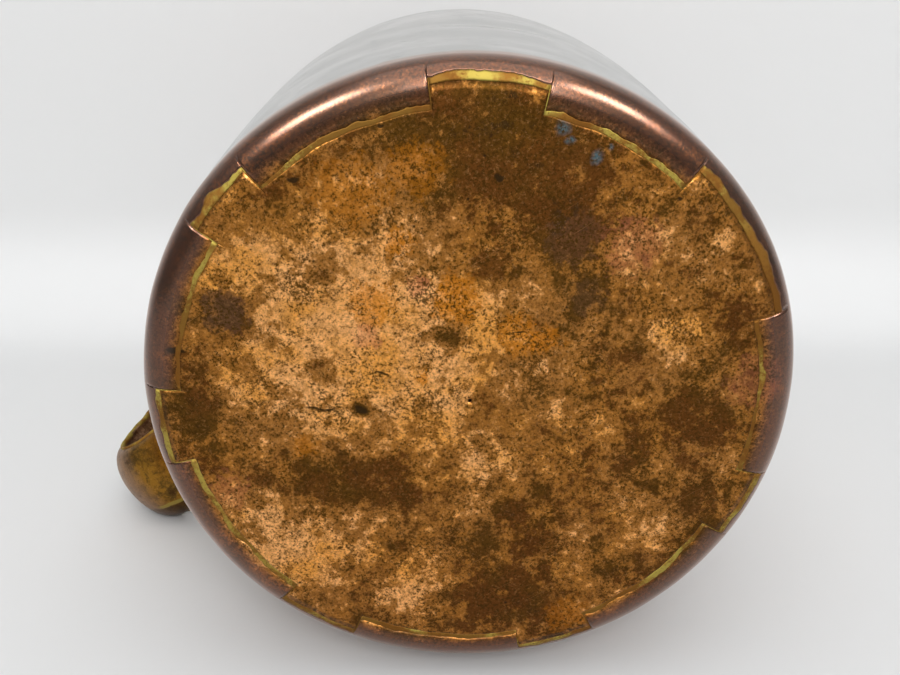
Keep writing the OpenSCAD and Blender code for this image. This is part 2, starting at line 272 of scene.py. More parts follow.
def body_point(outline, angle, distance, lift=0.0):
    radius, height, out, up = outline.at(distance)
    around = Vector((math.cos(angle), math.sin(angle), 0))
    outward = around * out + Vector((0, 0, up))
    point = around * radius + Vector((0, 0, height))
    return hammered(point, outward) + outward * lift


# Each tab of the base: its middle and half its width in degrees, and the width of its brass
BASE_TABS = [(0.4, 15.3, 1.9), (56.0, 7.0, 1.7), (104.5, 7.6, 1.5), (155.0, 8.1, 1.6),
             (207.5, 7.6, 1.4), (254.1, 6.7, 2.1), (305.6, 9.9, 1.7)]


def tab_brass(angle):
    """Width in mm of the brass round the tab at an angle in degrees, or 0 between tabs."""
    for middle, half, brass in BASE_TABS:
        away = abs((angle - middle + 180) % 360 - 180)
        if away < half:
            return brass
    return 0


def wobble(angle, amount, seed):
    a = math.radians(angle)
    return noise.noise(Vector((math.cos(a) * 9, math.sin(a) * 9, seed))) * amount


def disc_edge(middle, angle):
    """Distance out to the edge of the base sheet, for the span of angles around middle."""
    s = sizes()
    reach = s.tab_inner_r + (s.tab_depth if tab_brass(middle) else 0)
    return reach + wobble(angle, 0.0005, 1.3) + wobble(angle * 3, 0.0002, 8.1)


def brass_edge(middle, angle):
    """Distance out to the outer edge of the brass, for the span of angles around middle."""
    s = sizes()
    leg = math.degrees(s.leg_w / s.base_r)
    widest = max(tab_brass(middle + away) for away in (-leg, 0, leg))
    width = widest * MM if widest else s.seam_w
    width *= 1 + wobble(angle * 1.6, 0.8, 4.7) + wobble(angle * 6, 0.25, 6.1)
    reach = s.tab_inner_r + (s.tab_depth if widest else 0) + wobble(angle, 0.0005, 1.3)
    return max(reach + max(width, 0.0005), disc_edge(middle, angle) + 0.0005)


def seam_spans():
    """Spans of angle in degrees in which neither edge of the base seam jumps."""
    s = sizes()
    leg = math.degrees(s.leg_w / s.base_r)
    breaks = []
    for middle, half, _ in BASE_TABS:
        for side in (-1, 1):
            breaks += [middle + side * half, middle + side * (half + leg)]
    breaks = sorted(b % 360 for b in breaks)
    return list(zip(breaks, breaks[1:] + [breaks[0] + 360]))


def seam_grids(outline, low, high, steps, lift=None):
    """Grids of the body's surface between two edges, in every span of the base seam."""
    grids = []
    for start, end in seam_spans():
        middle = (start + end) / 2
        rows = []
        for angle in span_angles(start, end):
            inner, outer = low(middle, angle), high(middle, angle)
            row = []
            for n in range(steps + 1):
                t = n / steps
                raised = lift(angle, t) if lift else 0.0
                row.append(body_point(outline, math.radians(angle), inner + (outer - inner) * t,
                                      raised))
            rows.append(row)
        grids.append((rows, False))
    return grids


def span_angles(start, end):
    count = max(2, math.ceil((end - start) / 0.6) + 1)
    return [start + (end - start) * k / (count - 1) for k in range(count)]


def ring_grid(outline, distances):
    """Grid right round the body, on the same angles as the spans of the base seam."""
    angles = [a for start, end in seam_spans() for a in span_angles(start, end)[:-1]]
    rows = [[body_point(outline, math.radians(a), d) for d in distances] for a in angles]
    return rows, True


def spread(start, end, step):
    count = max(1, round((end - start) / step))
    return [start + (end - start) * k / count for k in range(count + 1)]


# ---- Materials -----------------------------------------------------------------------------

# How far the jug is turned about its axis from the way it lies on the table
LYING = math.radians(33)


class Tree:
    """Lays out one material's nodes. Inputs may be numbers, colours or other nodes' outputs."""

    def __init__(self, name):
        self.material = bpy.data.materials.new(name)
        self.material.use_nodes = True
        self.nodes = self.material.node_tree.nodes
        self.links = self.material.node_tree.links
        self.shader = self.nodes["Principled BSDF"]
        place = self.nodes.new("ShaderNodeTexCoord").outputs["Object"]
        self.mm = self.vector("SCALE", place, scale=1000)
        turn = self.nodes.new("ShaderNodeVectorRotate")
        turn.rotation_type = "Z_AXIS"
        self.put(turn.inputs["Vector"], self.mm)
        self.put(turn.inputs["Angle"], -LYING)
        self.lying = turn.outputs[0]

    def put(self, socket, value):
        if isinstance(value, bpy.types.NodeSocket):
            self.links.new(value, socket)
        elif isinstance(value, (tuple, list, Vector)) and socket.type == "RGBA":
            socket.default_value = (*value[:3], 1)
        else:
            socket.default_value = value

    def number(self, kind, a, b=0.0, c=0.0):
        node = self.nodes.new("ShaderNodeMath")
        node.operation = kind
        for socket, value in zip(node.inputs, (a, b, c)):
            self.put(socket, value)
        return node.outputs[0]

    def vector(self, kind, a, b=None, scale=None):
        node = self.nodes.new("ShaderNodeVectorMath")
        node.operation = kind
        self.put(node.inputs[0], a)
        if b is not None:
            self.put(node.inputs[1], b)
        if scale is not None:
            self.put(node.inputs["Scale"], scale)
        return node.outputs["Value" if kind in ("LENGTH", "DISTANCE", "DOT_PRODUCT") else "Vector"]

    def grain(self, across, detail=3.0, rough=0.55, where=None, bend=0.0, seed=0.0):
        """Noise whose lumps are about this many mm across, from 0 to 1."""
        node = self.nodes.new("ShaderNodeTexNoise")
        node.noise_dimensions = "4D"
        self.put(node.inputs["Vector"], self.mm if where is None else where)
        self.put(node.inputs["W"], seed)
        self.put(node.inputs["Scale"], 1 / across)
        self.put(node.inputs["Detail"], detail)
        self.put(node.inputs["Roughness"], rough)
        self.put(node.inputs["Distortion"], bend)
        return node.outputs["Fac"]

    def drift(self, across, amount, seed=0.0, where=None):
        """The place in mm, pushed about by coloured noise."""
        node = self.nodes.new("ShaderNodeTexNoise")
        node.noise_dimensions = "4D"
        self.put(node.inputs["Vector"], self.mm)
        self.put(node.inputs["W"], seed)
        self.put(node.inputs["Scale"], 1 / across)
        self.put(node.inputs["Detail"], 4.0)
        centred = self.vector("SUBTRACT", node.outputs["Color"], (0.5, 0.5, 0.5))
        return self.vector("ADD", self.mm if where is None else where,
                           self.vector("SCALE", centred, scale=amount))

    def cells(self, across, seed=0.0):
        """Distance to scattered points about this many mm apart, in those units."""
        node = self.nodes.new("ShaderNodeTexVoronoi")
        node.voronoi_dimensions = "4D"
        self.put(node.inputs["Vector"], self.mm)
        self.put(node.inputs["W"], seed)
        self.put(node.inputs["Scale"], 1 / across)
        return node.outputs["Distance"]

    def fade(self, value, start, end, low=0.0, high=1.0):
        node = self.nodes.new("ShaderNodeMapRange")
        node.interpolation_type = "SMOOTHSTEP"
        for name, given in (("Value", value), ("From Min", start), ("From Max", end),
                            ("To Min", low), ("To Max", high)):
            self.put(node.inputs[name], given)
        return node.outputs[0]

    def mix(self, share, under, over, kind="MIX"):
        node = self.nodes.new("ShaderNodeMix")
        node.data_type = "RGBA"
        node.blend_type = kind
        self.put(node.inputs[0], share)
        self.put(node.inputs[6], under)
        self.put(node.inputs[7], over)
        return node.outputs[2]

    def stain(self, now, share, amount, tone):
        """Lays a colour of the panel over the one so far, by some amount of a share."""
        return self.mix(self.number("MULTIPLY", share, amount), now, shade(tone))

    def blend(self, share, under, over):
        """A number that goes from under to over."""
        node = self.nodes.new("ShaderNodeMix")
        for socket, value in zip(node.inputs[:4], (share, None, under, over)):
            if value is not None:
                self.put(socket, value)
        return node.outputs[0]

    def grey(self, value):
        node = self.nodes.new("ShaderNodeCombineColor")
        for socket in node.inputs:
            self.put(socket, value)
        return node.outputs[0]

    def patch(self, where, x, y, radius, soft=0.6, stretch=(1, 1)):
        """Share of a soft patch around a spot of the base, 1 in its middle."""
        away = self.vector("SUBTRACT", where, (x, y, 0))
        away = self.vector("MULTIPLY", away, (1 / stretch[0], 1 / stretch[1], 0))
        return self.fade(self.vector("LENGTH", away), radius, radius * (1 - soft))

    def rub(self, across, thin, turn, seed, part=0.6):
        """Share of fine straight scratches that run at one angle."""
        node = self.nodes.new("ShaderNodeMapping")
        self.put(node.inputs["Vector"], self.mm)
        node.inputs["Rotation"].default_value = (0, 0, math.radians(turn))
        node.inputs["Scale"].default_value = (1 / across, 1 / thin, 1 / across)
        stretched = self.grain(1.0, 2.0, 0.5, where=node.outputs[0], bend=0.25, seed=seed)
        return self.fade(stretched, part, part + 0.06)

    def bumps(self, height, deep, under=None):
        """A bump whose full height is this many mm."""
        node = self.nodes.new("ShaderNodeBump")
        self.put(node.inputs["Strength"], 1.0)
        self.put(node.inputs["Distance"], deep * MM)
        self.put(node.inputs["Height"], height)
        if under is not None:
            self.put(node.inputs["Normal"], under)
        return node.outputs[0]

    def set(self, **values):
        names = {"colour": "Base Color", "metal": "Metallic", "rough": "Roughness",
                 "normal": "Normal"}
        for name, value in values.items():
            self.put(self.shader.inputs[names[name]], value)
        return self.material


def shade(name):
    """A colour of the panel, as the light-proportional values that materials take."""
    parts = getattr(colours(), name)
    return tuple(p / 12.92 if p <= 0.04045 else ((p + 0.055) / 1.055) ** 2.4 for p in parts)


# Where the base is bare (below nought) or tarnished (above), as the jug lies on its side:
# mm to the right and down from the middle, radius, stretch to the right and down, amount
TARNISH = [
    (-32, -20, 46, 1.25, 1.0, -0.46), (-50, 46, 27, 1.3, 0.9, -0.36), (-17, 63, 17, 1, 1, -0.32),
    (-8, 6, 26, 1.3, 0.7, -0.16), (4, 24, 24, 1, 1, -0.12), (53, 42, 11, 1, 1, -0.30),
    (54, -20, 12, 1, 1, -0.28), (41, -43, 15, 1, 1, -0.20), (46, 28, 12, 1, 1, 0.04),
    (-60, -40, 16, 1, 1, -0.20), (30, 8, 14, 1.3, 0.8, -0.14), (2, -79, 34, 1.9, 0.6, 0.26),
    (26, -48, 16, 1, 1, 0.30), (12, -60, 28, 1.4, 0.8, 0.30), (-35, -72, 24, 1.4, 0.6, 0.10),
    (30, -30, 12, 1, 1, 0.24), (41, -15, 11, 1, 1, 0.24), (70, -22, 14, 0.7, 1.2, 0.16),
    (60, 5, 18, 1, 1, 0.24), (45, 13, 10, 1, 1, 0.20), (68, 33, 16, 0.8, 1.2, 0.24),
    (15, 37, 17, 1, 1, 0.26), (4, 48, 15, 1, 1, 0.22), (10, 66, 20, 1.3, 0.8, 0.30),
    (-35, 27, 24, 1.3, 0.75, 0.34), (-65, -26, 12, 0.9, 1, 0.50), (-75, 0, 17, 0.6, 1.5, 0.34),
    (-30, 2, 5, 1, 1, 0.60), (-41, -9, 7, 1, 1, 0.42), (-40, -37, 8, 1.3, 0.8, 0.36),
    (-7, -19, 8, 1, 1, 0.34), (58, 54, 18, 1, 1, 0.20), (22, 76, 22, 1.5, 0.5, 0.16),
    (-81, -15, 3, 1.2, 0.7, 0.8),
]
# Coloured blooms: the same places, then the colour and its share
BLOOMS = [
    (-26, -28, 10, "gold", 0.60), (-19, -45, 6, "gold", 0.55), (-4, -29, 11, "gold", 0.60),
    (5, -39, 8, "rust", 0.75), (-14, -33, 5, "pink", 0.40), (-28, -19, 6, "pink", 0.35),
    (-13, -7, 3.4, "gold", 0.7), (12, -19, 9, "gold", 0.45), (20, -18, 7, "gold", 0.5),
    (-65, -26, 10, "purple", 0.55), (26, -46, 12, "purple", 0.35), (31, -30, 8, "purple", 0.3),
    (-46, 14, 6, "gold", 0.35), (22, 46, 9, "rust", 0.6), (73, -22, 10, "rust", 0.5),
    (30, 72, 10, "gold", 0.3), (-31, -58, 15, "gold", 0.30), (-68, 28, 9, "pink", 0.2),
    (-14, -64, 12, "gold", 0.30), (42, -44, 12, "pink", 0.25), (78, -6, 12, "pink", 0.18),
    (22, -74, 2.0, "verdigris", 0.8), (24, -71, 1.2, "verdigris", 0.7),
    (31, -67, 1.9, "verdigris", 0.8), (34, -69, 1.0, "verdigris", 0.7),
]
# Black spots: places, radius and stretch
SPOTS = [(-23, -74, 0.9, 1.3, 0.8), (-45, -61, 1.1, 1.3, 0.7), (52, -56, 0.9, 1, 1),
         (-41, 2, 2.2, 2.4, 0.22), (-30, 3, 1.9, 1.2, 0.8), (-79, -15, 1.8, 2.0, 0.6),
         (6, -62, 1.1, 1, 1), (-24, -8, 1.2, 2.5, 0.4), (13, -20, 1.4, 2.4, 0.3)]


def aged_copper(tree, edge):
    """Colour, roughness and bump height of browned, stained and rubbed copper.

    edge is the share of the pinkish brown look of the rounded corner.
    """
    wide = tree.drift(24, 9, 2.0, tree.lying)
    close = tree.drift(5, 5, 5.0, tree.lying)
    lumps = tree.grain(8, 10, 0.68, seed=1.0, bend=0.4)
    mottle = tree.grain(2.4, 9, 0.74, seed=3.0)
    dust = tree.grain(0.75, 5, 0.72, seed=7.0)
    slow = tree.grain(17, 5, 0.6, seed=9.0)

    cover = tree.number("MULTIPLY_ADD", edge, 0.28, 0.66)
    for x, y, radius, wide_by, tall_by, amount in TARNISH:
        where = wide if radius > 10 else close
        share = tree.patch(where, x, y, radius, 1.0, (wide_by, tall_by))
        cover = tree.number("MULTIPLY_ADD", share, amount, cover)
    broken = tree.number("MULTIPLY_ADD", lumps, 1.7, -0.85)
    broken = tree.number("ADD", broken, tree.number("MULTIPLY_ADD", mottle, 1.3, -0.65))
    film = tree.number("ADD", cover, broken)

    now = tree.mix(tree.fade(slow, 0.38, 0.62), shade("bright"), shade("salmon"))
    now = tree.mix(edge, now, shade("edge"))
    now = tree.mix(tree.fade(mottle, 0.42, 0.62, 0.0, 0.5), now, shade("brown"))
    thin = tree.fade(film, 0.36, 0.54)
    now = tree.stain(now, thin, 0.9, "brown")
    heavy = tree.mix(tree.fade(tree.grain(21, 6, 0.62, seed=12.0), 0.42, 0.58), shade("rust"),
                     shade("olive"))
    thick = tree.fade(film, 0.62, 0.86)
    now = tree.mix(tree.number("MULTIPLY", thick, 0.88), now, heavy)
    black = tree.fade(film, 1.06, 1.26)
    now = tree.stain(now, black, 0.75, "dark")
    now = tree.stain(now, edge, 0.5, "edge")

    # Blooms of colour with broken edges
    ragged = tree.number("MULTIPLY_ADD", mottle, 2.4, -1.2)
    for x, y, radius, tone, amount in BLOOMS:
        share = tree.patch(close, x, y, radius * 1.25, 1.0)
        if radius > 3:
            share = tree.fade(tree.number("ADD", share, ragged), 0.35, 0.75)
        now = tree.stain(now, share, amount, tone)

    # Grain, specks and pits
    light = tree.fade(dust, 0.30, 0.70, 1.45, 0.6)
    now = tree.mix(1.0, now, tree.grey(light), "MULTIPLY")
    crowd = tree.number("MULTIPLY_ADD", tree.grain(13, 3, 0.6, seed=14.0), 0.3, dust)
    speck = tree.fade(crowd, 0.67, 0.74)
    now = tree.stain(now, speck, 0.85, "olive")
    fleck = tree.fade(tree.grain(0.8, 5, 0.78, seed=15.0), 0.54, 0.63)
    fleck = tree.number("MULTIPLY", fleck, tree.fade(film, 0.8, 0.2, 0.15, 0.75))
    now = tree.mix(fleck, now, shade("salmon"))
    pits = tree.fade(tree.cells(7.0, 1.0), 0.075, 0.04)
    for x, y, radius, wide_by, tall_by in SPOTS:
        spot = tree.patch(close, x, y, radius, 0.5, (wide_by, tall_by))
        pits = tree.number("MAXIMUM", pits, spot)
    now = tree.stain(now, pits, 0.9, "dark")

    # Fine scratches one way and another
    lines = tree.rub(46, 0.28, 24, 21.0, 0.70)
    lines = tree.number("MAXIMUM", lines, tree.rub(30, 0.25, 96, 22.0, 0.71))
    lines = tree.number("MAXIMUM", lines, tree.rub(38, 0.30, 152, 23.0, 0.71))
    now = tree.stain(now, lines, 0.30, "salmon")

    rough = tree.fade(film, 0.3, 0.8, 0.40, 0.50)
    rough = tree.number("MULTIPLY_ADD", edge, -0.24, rough)
    height = tree.number("MULTIPLY_ADD", dust, 0.6, tree.number("MULTIPLY", pits, -1.0))
    height = tree.number("MULTIPLY_ADD", thick, 0.25, height)
    return now, rough, height


def lining(tree, colour_now, rough):
    """Dull tin on every face that looks in towards the jug's axis."""
    geometry = tree.nodes.new("ShaderNodeNewGeometry")
    spoke = tree.vector("MULTIPLY", tree.mm, (1, 1, 0))
    inward = tree.vector("DOT_PRODUCT", tree.vector("NORMALIZE", spoke),
                         geometry.outputs["True Normal"])
    share = tree.fade(inward, -0.02, -0.10)
    tin = tree.mix(tree.fade(tree.grain(14, 6, 0.6, seed=51.0), 0.4, 0.6), shade("tin"),
                   tuple(0.55 * part for part in shade("tin")))
    return tree.mix(share, colour_now, tin), tree.blend(share, rough, 0.5)


def base_material():
    tree = Tree("Aged copper base")
    now, rough, height = aged_copper(tree, 0.0)
    normal = tree.bumps(height, 0.05)
    normal = tree.bumps(tree.grain(9, 3, 0.5, seed=31.0), 0.20, normal)
    return tree.set(colour=now, rough=rough, normal=normal, metal=1.0)


def body_material(name="Polished copper", from_corner=True):
    """Copper that is stained at the corner of the base and polished above it, with a painted grey
    reflection towards its silhouette.
    """
    tree = Tree(name)
    cloud = tree.grain(18, 6, 0.6, seed=61.0)
    tarnish = tree.fade(tree.grain(7, 8, 0.7, seed=63.0, bend=0.4), 0.58, 0.72)
    now = tree.mix(tree.fade(cloud, 0.35, 0.65), shade("body"),
                   tuple(0.82 * part for part in shade("body")))
    now = tree.stain(now, tarnish, 0.35, "brown")
    lines = tree.rub(50, 0.5, 8, 65.0, 0.66)
    rough = tree.fade(cloud, 0.3, 0.7, 0.10, 0.20)
    rough = tree.number("ADD", rough, tree.number("MULTIPLY", tarnish, 0.12))
    # Painted reflection: towards the silhouette the colour turns to pale grey, chosen by Layer
    # Weight Facing
    facing = tree.nodes.new("ShaderNodeLayerWeight")
    tree.put(facing.inputs["Blend"], 0.5)
    painted_glance = tree.fade(facing.outputs["Facing"], 0.55, 0.80)
    now = tree.stain(now, painted_glance, 0.9, "painted_glance")
    height = tree.number("ADD", tree.number("MULTIPLY", lines, -0.2),
                         tree.number("MULTIPLY", tree.grain(0.7, 3, 0.6, seed=67.0), 0.3))
    if from_corner:
        upright = tree.nodes.new("ShaderNodeSeparateXYZ")
        tree.put(upright.inputs[0], tree.drift(6, 4, 69.0))
        spoke = tree.vector("LENGTH", tree.vector("MULTIPLY", tree.mm, (1, 1, 0)))
        edge = tree.fade(spoke, 79.5, 84.5)
        corner, corner_rough, corner_height = aged_copper(tree, edge)
        share = tree.fade(upright.outputs["Z"], 12.0, 6.0)
        sheen = tree.number("MULTIPLY", edge, share)
        tree.put(tree.shader.inputs["Coat Weight"], sheen)
        tree.put(tree.shader.inputs["Coat Roughness"], 0.24)
        tree.put(tree.shader.inputs["Coat Tint"], shade("sheen"))
        now = tree.mix(share, now, corner)
        rough = tree.blend(share, rough, corner_rough)
        height = tree.blend(share, height, corner_height)
    now, rough = lining(tree, now, rough)
    normal = tree.bumps(height, 0.03)
    normal = tree.bumps(tree.grain(10, 2, 0.5, seed=71.0), 0.12, normal)
    return tree.set(colour=now, rough=rough, normal=normal, metal=1.0)


def brass_material(name="Brazing brass", covered=0.0):
    """Yellow green brass. covered is how much of it the copper's brown film hides."""
    tree = Tree(name)
    cloud = tree.grain(9, 5, 0.6, seed=81.0)
    dust = tree.grain(0.8, 5, 0.7, seed=83.0)
    now = tree.mix(tree.fade(cloud, 0.46, 0.6), shade("brass"), shade("brass_brown"))
    now = tree.mix(tree.patch(tree.mm, 86, 12, 22, 0.5), now, shade("brass_brown"))
    speck = tree.fade(dust, 0.55, 0.7)
    now = tree.stain(now, speck, 0.6, "dark")
    if covered:
        hidden = tree.number("ADD", tree.grain(24, 3, 0.5, seed=87.0),
                             tree.number("MULTIPLY_ADD", dust, 0.5, -0.25))
        hidden = tree.fade(hidden, 0.62 - 0.2 * covered, 0.74 - 0.2 * covered)
        now = tree.mix(tree.number("MULTIPLY", hidden, 0.85), now,
                       tuple(0.7 * part for part in shade("brown")))
    rough = tree.fade(cloud, 0.3, 0.7, 0.60, 0.70)
    normal = tree.bumps(tree.grain(1.6, 4, 0.6, seed=85.0), 0.10)
    return tree.set(colour=now, rough=rough, normal=normal, metal=0.95)


def handle_material(name="Handle copper", painted_shade=0.0):
    """Ochre copper with a painted pinkish grey reflection at the outer bend, painted shade on the
    side that faces the table, and a brass line along the back's lower edge.

    The second argument darkens the whole copper by thickening its brown film: painted shade for
    the liner, which faces the body.
    """
    tree = Tree(name)
    wide = tree.drift(10, 7, 91.0)
    mottle = tree.grain(2.2, 9, 0.74, seed=93.0)
    lumps = tree.grain(7, 9, 0.68, seed=94.0, bend=0.5)
    dust = tree.grain(0.75, 5, 0.72, seed=95.0)
    parts = tree.nodes.new("ShaderNodeSeparateXYZ")
    tree.put(parts.inputs[0], wide)
    film = tree.number("ADD", lumps, tree.number("MULTIPLY_ADD", mottle, 0.7, painted_shade - 0.35))
    now = tree.mix(tree.fade(film, 0.40, 0.56), shade("handle"), shade("handle_olive"))
    amber = tree.number("MULTIPLY", tree.fade(parts.outputs["Y"], 4, -8),
                        tree.fade(parts.outputs["X"], -142, -128))
    now = tree.stain(now, amber, 0.75, "handle_amber")
    # Painted reflection: the handle's outer bend is paled to pinkish grey
    warm = tree.fade(parts.outputs["X"], -143, -152)
    now = tree.stain(now, warm, 0.75, "handle_bend_reflection")
    now = tree.stain(now, tree.fade(film, 0.56, 0.70), 0.75, "handle_stain_and_shade")
    speck = tree.fade(dust, 0.56, 0.66)
    now = tree.stain(now, speck, 0.7, "handle_stain_and_shade")
    pale = tree.fade(dust, 0.42, 0.34)
    now = tree.stain(now, pale, 0.3, "salmon")
    exact = tree.nodes.new("ShaderNodeSeparateXYZ")
    tree.put(exact.inputs[0], tree.drift(5, 1.6, 96.0))
    slant = tree.number("MULTIPLY_ADD", exact.outputs["X"], 0.14, 29.1)
    below = tree.number("SUBTRACT", exact.outputs["Y"], slant)
    line = tree.fade(tree.number("ABSOLUTE", below), 1.1, 0.6)
    # Painted shade: the side of the handle past the line, which faces the table, is darkened
    now = tree.stain(now, tree.fade(below, 0, 1.5), 0.7, "handle_stain_and_shade")
    line = tree.number("MULTIPLY", line, tree.fade(exact.outputs["X"], -151, -147))
    line = tree.number("MULTIPLY", line, tree.fade(exact.outputs["Z"], 104, 98))
    now = tree.stain(now, line, 0.85, "brass")
    rough = tree.fade(film, 0.3, 0.7, 0.34, 0.46)
    height = tree.number("MULTIPLY_ADD", line, 0.8, tree.number("MULTIPLY", dust, 0.5))
    normal = tree.bumps(height, 0.06)
    normal = tree.bumps(tree.grain(8, 3, 0.5, seed=103.0), 0.25, normal)
    return tree.set(colour=now, rough=rough, normal=normal, metal=1.0)


def iron_material():
    tree = Tree("Iron wire")
    rust = tree.fade(tree.grain(3, 6, 0.7, seed=111.0), 0.5, 0.65)
    now = tree.mix(rust, shade("iron"), shade("rust"))
    normal = tree.bumps(tree.grain(0.8, 4, 0.6, seed=113.0), 0.05)
    return tree.set(colour=now, rough=0.6, normal=normal, metal=0.8)


# ---- Handle --------------------------------------------------------------------------------

# How far the grip runs on upright at its lower end and level at its upper end
UPRIGHT_SHARE = 0.3
LEVEL_SHARE = 0.45


def belly_radius(height):
    s = sizes()
    quarter = math.pi / 2 * (height - s.corner_r) / (s.belly_z - s.corner_r)
    return s.base_r + (s.belly_r - s.base_r) * math.sin(quarter)


def handle_stations():
    """Places, headings and widths from the handle's foot up, and where its head stops."""
    s = sizes()
    foot = belly_radius(s.arm_z) + s.plate_t + HANDLE_GAP
    head = s.neck_r + s.plate_t + HANDLE_GAP
    stations = []
    for k in range(24):
        t = k / 24
        stations.append((Vector((foot + t * (s.grip_x - s.bend_r - foot), s.arm_z)),
                         Vector((1, 0)), s.foot_w + (s.grip_w - s.foot_w) * t))
    for k in range(20):
        a = math.radians(90 * k / 20)
        stations.append((Vector((s.grip_x - s.bend_r + s.bend_r * math.sin(a),
                                 s.arm_z + s.bend_r - s.bend_r * math.cos(a))),
                         Vector((math.cos(a), math.sin(a))), s.grip_w))
    low = Vector((s.grip_x, s.arm_z + s.bend_r))
    high = Vector((head, s.top_z))
    pull = Vector((s.grip_x, low.y + UPRIGHT_SHARE * (s.top_z - low.y)))
    lean = Vector((head + LEVEL_SHARE * (s.grip_x - head), s.top_z))
    for k in range(81):
        t = k / 80
        place = ((1 - t) ** 3 * low + 3 * (1 - t) ** 2 * t * pull
                 + 3 * (1 - t) * t * t * lean + t ** 3 * high)
        slope = ((1 - t) ** 2 * (pull - low) + 2 * (1 - t) * t * (lean - pull)
                 + t * t * (high - lean))
        stations.append((place, slope.normalized(), s.grip_w))
    return stations, head


def handle_rows(section, relief=0.0):
    """Sweeps a section along the handle; section(width, along) gives [across, out] points."""
    s = sizes()
    stations, head = handle_stations()
    rows = []
    for index, (place, heading, width) in enumerate(stations):
        row = []
        for across, out in section(width, index / (len(stations) - 1)):
            out += noise.noise(Vector((across * 45, index * 0.09, out * 30))) * relief
            x = place.x + out * heading.y
            z = place.y - out * heading.x
            if index == 0:
                seat = belly_radius(z) + s.plate_t + HANDLE_GAP
                x = math.sqrt(seat * seat - across * across)
            if index == len(stations) - 1:
                x = math.sqrt(head * head - across * across)
            row.append(Vector((-x, across, z)))
        rows.append(row)
    return rows


def arched(width, _along):
    s = sizes()
    start = math.asin(s.bead_h / s.back_d)
    return [(width / 2 * math.cos(a), s.back_d * math.sin(a))
            for a in (math.pi - start - (math.pi - 2 * start) * k / 48 for k in range(49))]


def lined(width, _along):
    s = sizes()
    flat = width / 2 - 2 * s.handle_t
    return [(width * (k / 40 - 0.5),
             -s.bead_h - s.liner_d * max(0, 1 - (width * (k / 40 - 0.5) / flat) ** 2))
            for k in range(41)]


def beaded(side):
    """Section of the brass bead on one side, lumpy along its length."""
    def section(width, along):
        s = sizes()
        lump = noise.noise(Vector((along * 26, side * 3, 0)))
        thick = s.bead_h * (1.15 + 0.5 * lump)
        reach = s.bead_out * (1.1 + 0.6 * noise.noise(Vector((along * 40, side * 5, 2))))
        blob = math.exp(-((along - 0.30) / 0.012) ** 2) if side > 0 else 0
        thick += 0.0007 * blob
        reach += 0.0006 * blob
        middle = width / 2 - s.handle_t * 0.5
        points = []
        for k in range(17):
            a = -math.pi + 2 * math.pi * k / 16
            points.append((side * (middle + (reach + s.handle_t * 0.5) * math.cos(a)),
                           thick * math.sin(a)))
        return points
    return section


# ---- Operators -----------------------------------------------------------------------------

class Builder(bpy.types.Operator):
    """Shared settings of the operators that build the jug"""
    bl_options = {"REGISTER", "UNDO"}


class JUG_OT_base(Builder):
    """Build the base sheet with its tabs"""
    bl_idname = "jug.base"
    bl_label = "Base sheet"

    def execute(self, context):
        s = sizes()
        outline = Outline()
        common = s.tab_inner_r - 0.002
        grids = [ring_grid(outline, spread(0.0006, common, 0.0011))]
        grids += seam_grids(outline, lambda m, a: common, disc_edge, 4)
        piece = thicken(grids_piece("base_sheet", grids), s.sheet_t)
        finished(piece, base_material(), "base_disc")
        return {"FINISHED"}


class JUG_OT_base_seam(Builder):
    """Build the castellated brass seam of the base"""
    bl_idname = "jug.base_seam"
    bl_label = "Base seam"

    def execute(self, context):
        def crown(angle, t):
            return (0.00003 + wobble(angle * 3, 0.00003, 2.2)) * math.sin(math.pi * t)

        grids = seam_grids(Outline(), disc_edge, brass_edge, 5, crown)
        piece = thicken(grids_piece("base_brass", grids), sizes().sheet_t)
        finished(piece, brass_material("Base brass", 1.0), "base_seam")
        return {"FINISHED"}


class JUG_OT_belly(Builder):
    """Build the belly sheet up to the waist seam's tabs"""
    bl_idname = "jug.belly"
    bl_label = "Belly sheet"

    def execute(self, context):
        s = sizes()
        outline = Outline()
        low = s.base_r - 0.0005
        waist = outline.distance_to(s.waist_z - 0.002)
        distances = spread(low, low + 0.012, 0.0006) + spread(low + 0.012, waist, 0.0018)[1:]
        grids = [ring_grid(outline, distances)]
        grids += seam_grids(outline, brass_edge, lambda m, a: low, 6)
        grids += self.waist_tabs(outline, waist)
        piece = thicken(grids_piece("belly_sheet", grids), s.sheet_t)
        finished(piece, body_material(), "belly_shell")
        return {"FINISHED"}

    def waist_tabs(self, outline, waist):
        s = sizes()
        grids = []
        half = math.degrees(math.asin(s.waist_tab_w / 2 / s.belly_r))
        for k in range(WAIST_TABS):
            middle = 360 * (k + 0.5) / WAIST_TABS
            spans = ((middle - half, middle + half, s.waist_z + s.waist_tab_h),
                     (middle + half, middle + 360 / WAIST_TABS - half, s.waist_z))
            for start, end, height in spans:
                top = outline.distance_to(height)
                heights = spread(waist, top, 0.0014)
                rows = []
                for n in range(17):
                    angle = math.radians(start + (end - start) * n / 16)
                    rows.append([body_point(outline, angle, d) for d in heights])
                grids.append((rows, False))
        return grids


class JUG_OT_handle(Builder):
    """Build the handle's arched back, its liner and the brass beads between them"""
    bl_idname = "jug.handle"
    bl_label = "Handle"

    def execute(self, context):
        s = sizes()
        back = thicken(grids_piece("handle_arch", [(handle_rows(arched, 0.0004), False)]),
                       s.handle_t, 1.0)
        liner = thicken(grids_piece("handle_lining", [(handle_rows(lined, 0.0002), False)]),
                        s.handle_t, -1.0)
        finished(back, handle_material(), "handle_back")
        # Painted shade: the liner, which faces the body, takes a darker copy of the handle's
        # copper
        finished(liner, handle_material("Handle lining copper in painted shade", 0.16), "handle_liner")
        beads = grids_piece("handle_brass", [(handle_rows(beaded(1)), False),
                                             (handle_rows(beaded(-1)), False)])
        finished(beads, brass_material("Handle brass"), "handle_seams")
        return {"FINISHED"}


